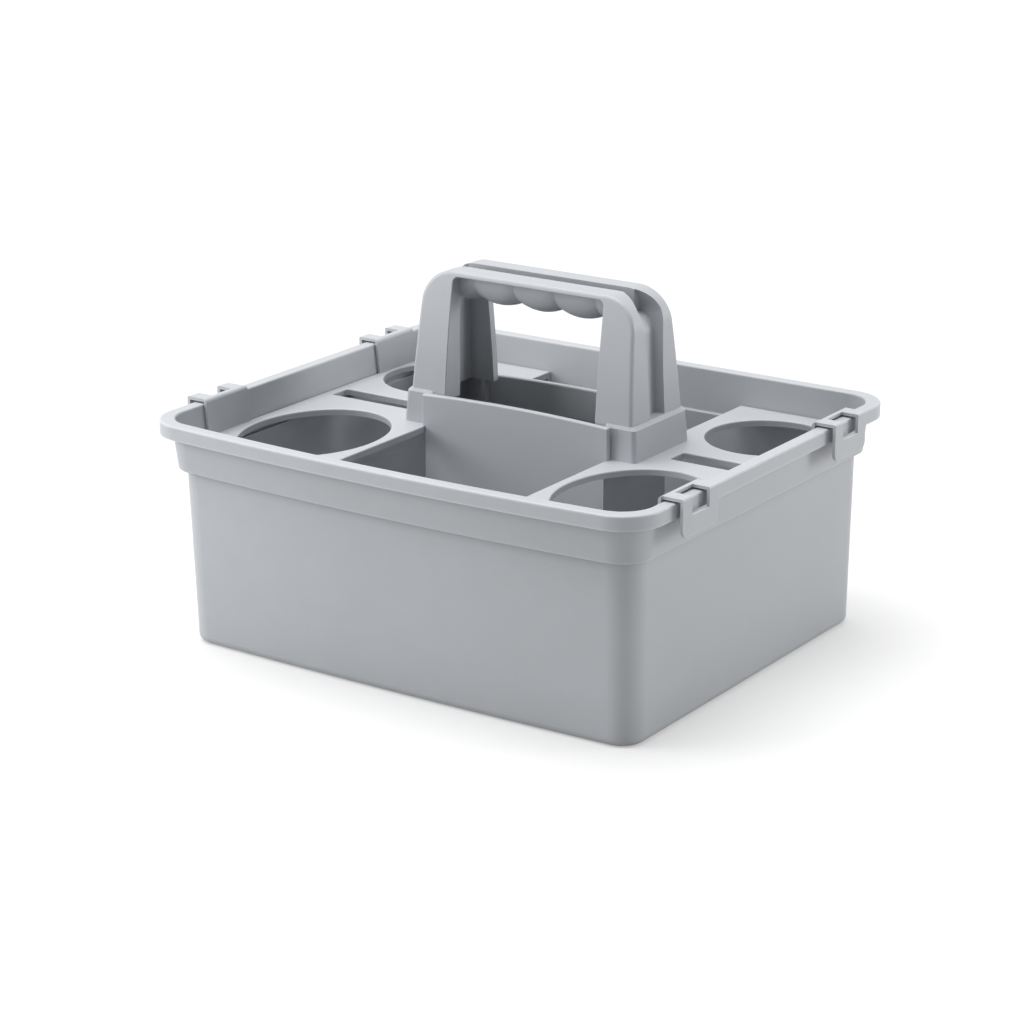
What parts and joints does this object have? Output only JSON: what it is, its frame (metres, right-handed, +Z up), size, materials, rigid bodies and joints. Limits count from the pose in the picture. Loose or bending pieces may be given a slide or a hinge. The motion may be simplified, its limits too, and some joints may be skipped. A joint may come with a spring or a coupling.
{
  "type": "carry caddy",
  "caption": "Open moulded plastic carry caddy: stepped tub with turned-over rim, lift-in trays with bottle holes that clip over the rim, a centre bin and an arched finger-grip handle.",
  "frame": {"origin": "on the rest plane under the base, below the middle of the rim's outline", "axes": "+X along the long side, +Y towards the straight back wall, +Z up towards the handle"},
  "size_m": [0.3608, 0.3069, 0.2214],
  "materials": {
    "tub_plastic": "light grey, fine moulded grain",
    "tray_plastic": "light grey, satin",
    "handle_plastic": "light grey, satin"
  },
  "bodies": {
    "tub": {"tub": "tub_plastic"},
    "insert": {"left_tray": "tray_plastic", "right_tray": "tray_plastic", "centre_bin": "tray_plastic", "handle": "handle_plastic"},
    "clip_front_left": {"clip_tab_front_left": "tray_plastic"},
    "clip_front_right": {"clip_tab_front_right": "tray_plastic"},
    "clip_rear_left": {"clip_tab_rear_left": "tray_plastic"},
    "clip_rear_right": {"clip_tab_rear_right": "tray_plastic"}
  },
  "joints": [
    {"name": "insert_lift", "type": "slide", "parent": "tub", "child": "insert", "axis": [0, 0, 1], "range_m": [0, 0.15]},
    {"name": "clip_flex_front_left", "type": "hinge", "parent": "insert", "child": "clip_front_left", "pos_m": [-0.1785, -0.0798, 0.147], "axis": [0, 1, 0], "range_deg": [0, 14], "stiffness_Nm_per_rad": 0.05},
    {"name": "clip_flex_front_right", "type": "hinge", "parent": "insert", "child": "clip_front_right", "pos_m": [0.1785, -0.089, 0.147], "axis": [0, -1, 0], "range_deg": [0, 14], "stiffness_Nm_per_rad": 0.05},
    {"name": "clip_flex_rear_left", "type": "hinge", "parent": "insert", "child": "clip_rear_left", "pos_m": [-0.1785, 0.0954, 0.147], "axis": [0, 1, 0], "range_deg": [0, 14], "stiffness_Nm_per_rad": 0.05},
    {"name": "clip_flex_rear_right", "type": "hinge", "parent": "insert", "child": "clip_rear_right", "pos_m": [0.1785, 0.0862, 0.147], "axis": [0, -1, 0], "range_deg": [0, 14], "stiffness_Nm_per_rad": 0.05}
  ]
}
